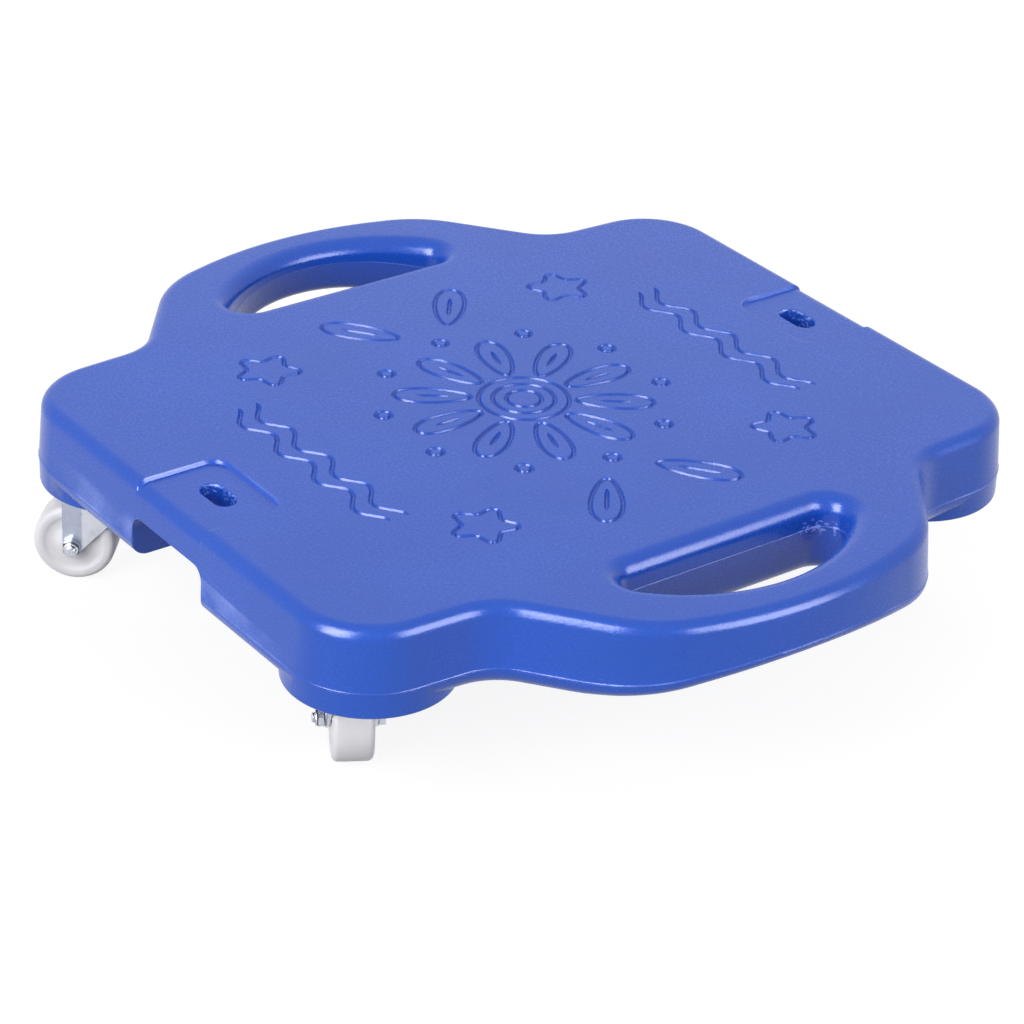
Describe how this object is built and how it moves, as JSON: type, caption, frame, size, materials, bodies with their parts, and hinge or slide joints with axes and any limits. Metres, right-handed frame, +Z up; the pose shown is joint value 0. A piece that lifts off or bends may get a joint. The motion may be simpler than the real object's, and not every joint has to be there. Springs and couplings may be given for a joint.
{
  "type": "scooter board",
  "caption": "Low scooter board with a hollow moulded plastic deck, a hand hole at each side, link slots at both ends and swivel casters under its corners.",
  "frame": {"origin": "on the ground under the middle of the deck, at the bottom centre of the object's box", "axes": "+Z up from the ground to the deck's top, +X across the board from hand hole to hand hole, +Y along it from the front straight edge to the back one"},
  "size_m": [0.4424, 0.4, 0.096],
  "materials": {
    "deck_plastic": "blue moulded polyethylene, satin, with a fine grain",
    "wheel_nylon": "white nylon, slightly translucent",
    "zinc_steel": "bright zinc plate",
    "ball_steel": "greased steel balls"
  },
  "bodies": {
    "board": {"deck": "deck_plastic", "front_left_top_plate": "zinc_steel", "front_left_upper_balls": "ball_steel", "front_left_lower_balls": "ball_steel", "front_left_race_cup": "zinc_steel", "front_left_kingpin": "zinc_steel", "front_left_screw_1": "zinc_steel", "front_left_screw_2": "zinc_steel", "front_left_screw_3": "zinc_steel", "front_left_screw_4": "zinc_steel", "front_right_top_plate": "zinc_steel", "front_right_upper_balls": "ball_steel", "front_right_lower_balls": "ball_steel", "front_right_race_cup": "zinc_steel", "front_right_kingpin": "zinc_steel", "front_right_screw_1": "zinc_steel", "front_right_screw_2": "zinc_steel", "front_right_screw_3": "zinc_steel", "front_right_screw_4": "zinc_steel", "back_left_top_plate": "zinc_steel", "back_left_upper_balls": "ball_steel", "back_left_lower_balls": "ball_steel", "back_left_race_cup": "zinc_steel", "back_left_kingpin": "zinc_steel", "back_left_screw_1": "zinc_steel", "back_left_screw_2": "zinc_steel", "back_left_screw_3": "zinc_steel", "back_left_screw_4": "zinc_steel", "back_right_top_plate": "zinc_steel", "back_right_upper_balls": "ball_steel", "back_right_lower_balls": "ball_steel", "back_right_race_cup": "zinc_steel", "back_right_kingpin": "zinc_steel", "back_right_screw_1": "zinc_steel", "back_right_screw_2": "zinc_steel", "back_right_screw_3": "zinc_steel", "back_right_screw_4": "zinc_steel"},
    "front_left_swivel_body": {"front_left_fork": "zinc_steel", "front_left_bush": "zinc_steel", "front_left_axle": "zinc_steel", "front_left_nut": "zinc_steel"},
    "front_left_wheel_body": {"front_left_wheel": "wheel_nylon"},
    "front_right_swivel_body": {"front_right_fork": "zinc_steel", "front_right_bush": "zinc_steel", "front_right_axle": "zinc_steel", "front_right_nut": "zinc_steel"},
    "front_right_wheel_body": {"front_right_wheel": "wheel_nylon"},
    "back_left_swivel_body": {"back_left_fork": "zinc_steel", "back_left_bush": "zinc_steel", "back_left_axle": "zinc_steel", "back_left_nut": "zinc_steel"},
    "back_left_wheel_body": {"back_left_wheel": "wheel_nylon"},
    "back_right_swivel_body": {"back_right_fork": "zinc_steel", "back_right_bush": "zinc_steel", "back_right_axle": "zinc_steel", "back_right_nut": "zinc_steel"},
    "back_right_wheel_body": {"back_right_wheel": "wheel_nylon"}
  },
  "joints": [
    {"name": "front_left_swivel", "type": "hinge", "parent": "board", "child": "front_left_swivel_body", "pos_m": [-0.1058, -0.167, 0.04705], "axis": [0, 0, 1], "continuous": true},
    {"name": "front_left_roll", "type": "hinge", "parent": "front_left_swivel_body", "child": "front_left_wheel_body", "pos_m": [-0.11713, -0.17967, 0.02], "axis": [0.7455, -0.6665, 0], "continuous": true},
    {"name": "front_right_swivel", "type": "hinge", "parent": "board", "child": "front_right_swivel_body", "pos_m": [0.1058, -0.167, 0.04705], "axis": [0, 0, 1], "continuous": true},
    {"name": "front_right_roll", "type": "hinge", "parent": "front_right_swivel_body", "child": "front_right_wheel_body", "pos_m": [0.09108, -0.1585, 0.02], "axis": [-0.5, -0.866, 0], "continuous": true},
    {"name": "back_left_swivel", "type": "hinge", "parent": "board", "child": "back_left_swivel_body", "pos_m": [-0.1058, 0.167, 0.04705], "axis": [0, 0, 1], "continuous": true},
    {"name": "back_left_roll", "type": "hinge", "parent": "back_left_swivel_body", "child": "back_left_wheel_body", "pos_m": [-0.11713, 0.17967, 0.02], "axis": [-0.7455, -0.6665, 0], "continuous": true},
    {"name": "back_right_swivel", "type": "hinge", "parent": "board", "child": "back_right_swivel_body", "pos_m": [0.1058, 0.167, 0.04705], "axis": [0, 0, 1], "continuous": true},
    {"name": "back_right_roll", "type": "hinge", "parent": "back_right_swivel_body", "child": "back_right_wheel_body", "pos_m": [0.09581, 0.15325, 0.02], "axis": [0.809, -0.5878, 0], "continuous": true}
  ]
}
